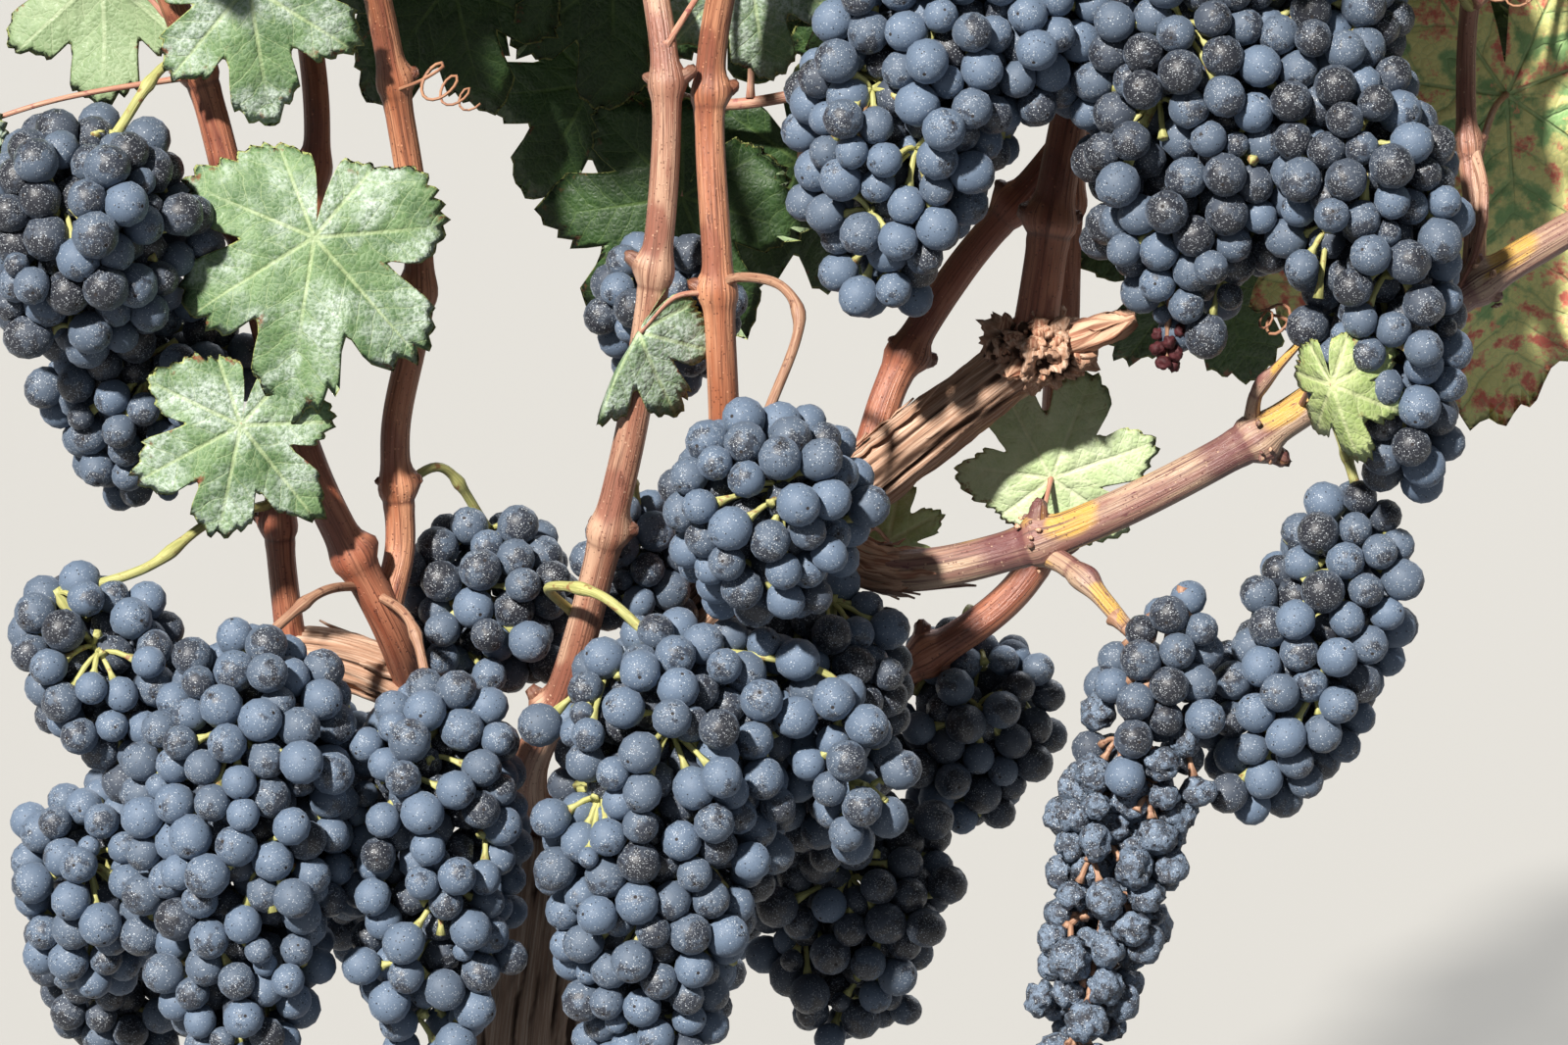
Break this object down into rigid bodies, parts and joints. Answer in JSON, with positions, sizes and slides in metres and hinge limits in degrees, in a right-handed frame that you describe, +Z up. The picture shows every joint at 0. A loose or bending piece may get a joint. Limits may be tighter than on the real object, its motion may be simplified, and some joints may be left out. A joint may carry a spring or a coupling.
{
  "type": "grapevine",
  "caption": "Rooted fruiting grapevine: leaning trunk forking into old arms, upright woody canes, hanging bunches of dark grapes, single leaves and a leafy top.",
  "frame": {"origin": "middle of the flat cut under the trunk, at ground level", "axes": "+Z up along the trunk, -Y towards the side that the bunches are seen from, +X to the right along the row"},
  "size_m": [0.878, 0.3621, 1.44],
  "materials": {
    "bark": "shaggy old bark",
    "cane_wood": "ripened one-year wood, finely furrowed",
    "grapes": "waxy bloom over dark skin",
    "raisins": "wrinkled skin with bloom",
    "leaves": "matte leaf",
    "autumn_leaf": "matte leaf turning yellow and red"
  },
  "bodies": {
    "root": {"trunk": "bark", "right_arm": "bark", "left_arm": "bark", "left_outer_cane": "cane_wood", "left_rear_cane": "cane_wood", "left_inner_cane": "cane_wood", "middle_left_cane": "cane_wood", "middle_right_cane": "cane_wood", "head_cane": "cane_wood", "crossing_cane": "cane_wood", "right_cane": "cane_wood", "right_upright_shoot": "cane_wood", "low_rear_cane": "cane_wood", "left_large_leaf": "leaves", "left_small_leaf": "leaves", "left_top_leaf": "leaves", "left_upper_leaf": "leaves", "leaf_behind_right_cane": "leaves", "autumn_leaf": "autumn_leaf", "centre_top_leaf": "leaves", "right_top_leaf": "leaves", "rear_low_leaf": "leaves", "front_centre_bunch": "grapes", "centre_long_bunch": "grapes", "left_long_bunch": "grapes", "inner_left_bunch": "grapes", "top_centre_bunch": "grapes", "top_right_bunch": "grapes", "right_long_bunch": "grapes", "shrivelled_bunch": "raisins", "lower_right_bunch": "grapes", "left_wing_bunch": "grapes", "left_top_bunch": "grapes", "left_second_bunch": "grapes", "lower_left_bunch": "grapes", "rear_left_bunch": "grapes", "small_centre_bunch": "grapes", "upper_centre_bunch": "grapes", "right_centre_bunch": "grapes", "right_rear_bunch": "grapes", "low_right_rear_bunch": "grapes", "dark_left_bunch": "grapes", "rear_left_low_bunch": "grapes", "rear_middle_low_bunch": "grapes", "rear_shaded_leaves": "leaves", "left_outer_top": "leaves", "left_rear_top": "leaves", "left_inner_top": "leaves", "middle_left_top": "leaves", "middle_right_top": "leaves", "head_top": "leaves", "crossing_top": "leaves", "right_upright_top": "leaves", "right_end_top": "leaves", "low_rear_top": "leaves"}
  },
  "joints": []
}
